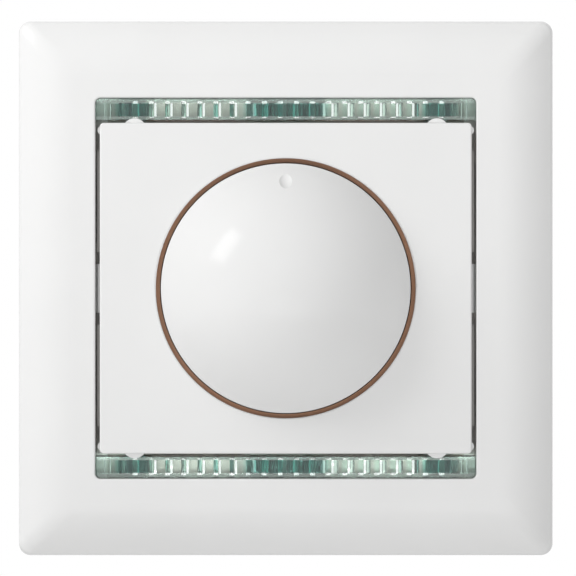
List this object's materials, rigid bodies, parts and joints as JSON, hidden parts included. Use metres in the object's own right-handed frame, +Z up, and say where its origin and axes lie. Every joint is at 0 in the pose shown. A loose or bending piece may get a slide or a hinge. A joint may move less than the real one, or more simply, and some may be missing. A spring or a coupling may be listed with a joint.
{
  "type": "rotary dimmer switch",
  "caption": "Square white flush-mounted rotary dimmer: pillowed frame, clear ribbed light bars, flat centre plate and a domed push-and-turn knob, with its wall-box mechanism.",
  "frame": {"origin": "centre of the wall plane behind the frame, midway between the two wall screws", "axes": "+Z up, +X to the right seen from the front, +Y into the wall; the knob faces -Y"},
  "size_m": [0.081, 0.0484, 0.081],
  "materials": {
    "white_plastic": "satin white moulding",
    "clear_plastic": "clear moulding with a green tint",
    "brown_plastic": "brown thermoset moulding",
    "housing_plastic": "light grey moulding",
    "zinc_steel": "zinc-plated pressed steel",
    "screw_steel": "plated screws and washers",
    "spring_steel": "bare spring steel",
    "brass": "turned and pressed brass",
    "copper": "enamelled copper wire",
    "tinned_metal": "tinned copper",
    "aluminium": "folded sheet",
    "black_plastic": "black moulding",
    "phenolic": "phenolic sheet with a carbon track",
    "board_sheet": "glass-fibre sheet",
    "ferrite": "sintered ferrite",
    "capacitor_plastic": "boxed film capacitors",
    "resistor_lacquer": "lacquered bodies",
    "fuse_glass": "clear glass tube"
  },
  "bodies": {
    "housing": {"bush_nut": "screw_steel", "centre_plate": "white_plastic", "choke_core": "ferrite", "choke_winding": "copper", "circuit_board": "board_sheet", "claw_pins": "zinc_steel", "cover_frame": "white_plastic", "film_capacitor": "capacitor_plastic", "front_cover": "brown_plastic", "fuse_caps": "tinned_metal", "fuse_clips": "brass", "fuse_tube": "fuse_glass", "heat_sink": "aluminium", "housing_screws": "screw_steel", "light_insert": "clear_plastic", "lock_washer": "screw_steel", "potentiometer_case": "zinc_steel", "rear_housing": "housing_plastic", "resistive_track": "phenolic", "resistors": "resistor_lacquer", "return_spring": "spring_steel", "support_plate": "zinc_steel", "switch_case": "black_plastic", "switch_contacts": "brass", "terminal_clamps": "brass", "terminal_screws": "screw_steel", "threaded_bush": "brass", "timing_capacitor": "capacitor_plastic", "triac_body": "black_plastic", "triac_leads": "tinned_metal", "triac_screw": "screw_steel", "triac_tab": "tinned_metal", "trigger_diode": "resistor_lacquer"},
    "rotor": {"wiper_rotor": "black_plastic", "wiper_contact": "brass"},
    "knob": {"knob": "white_plastic", "knob_leaf": "spring_steel", "spindle": "brass", "spindle_clip": "spring_steel"},
    "plunger": {"switch_plunger": "housing_plastic", "contact_bridge": "brass"},
    "claw_left": {"claw_left": "zinc_steel"},
    "claw_right": {"claw_right": "zinc_steel"},
    "claw_screw_left": {"claw_screw_left": "screw_steel"},
    "claw_screw_right": {"claw_screw_right": "screw_steel"}
  },
  "joints": [
    {"name": "knob_turn", "type": "hinge", "parent": "housing", "child": "rotor", "pos_m": [0, 0, 0], "axis": [0, 1, 0], "range_deg": [-135, 135]},
    {"name": "knob_push", "type": "slide", "parent": "rotor", "child": "knob", "axis": [0, 1, 0], "range_m": [0, 0.002], "stiffness_N_per_m": 800, "springref_m": -0.004},
    {"name": "plunger_push", "type": "slide", "parent": "housing", "child": "plunger", "axis": [0, 1, 0], "range_m": [0, 0.002], "deforming": ["return_spring"]},
    {"name": "claw_screw_left_turn", "type": "hinge", "parent": "housing", "child": "claw_screw_left", "pos_m": [-0.0243, 0, 0], "axis": [0, 1, 0], "range_deg": [0, 1570]},
    {"name": "claw_left_swing", "type": "hinge", "parent": "housing", "child": "claw_left", "pos_m": [-0.02095, 0.006, 0], "axis": [0, 0, 1], "range_deg": [0, 38.5]},
    {"name": "claw_screw_right_turn", "type": "hinge", "parent": "housing", "child": "claw_screw_right", "pos_m": [0.0243, 0, 0], "axis": [0, 1, 0], "range_deg": [0, 1570]},
    {"name": "claw_right_swing", "type": "hinge", "parent": "housing", "child": "claw_right", "pos_m": [0.02095, 0.006, 0], "axis": [0, 0, -1], "range_deg": [0, 38.5]}
  ],
  "couplings": [
    {"joint": "plunger_push", "follows": "knob_push", "ratio": 1},
    {"joint": "claw_left_swing", "follows": "claw_screw_left_turn", "ratio": 0.024204},
    {"joint": "claw_right_swing", "follows": "claw_screw_right_turn", "ratio": 0.024204}
  ]
}
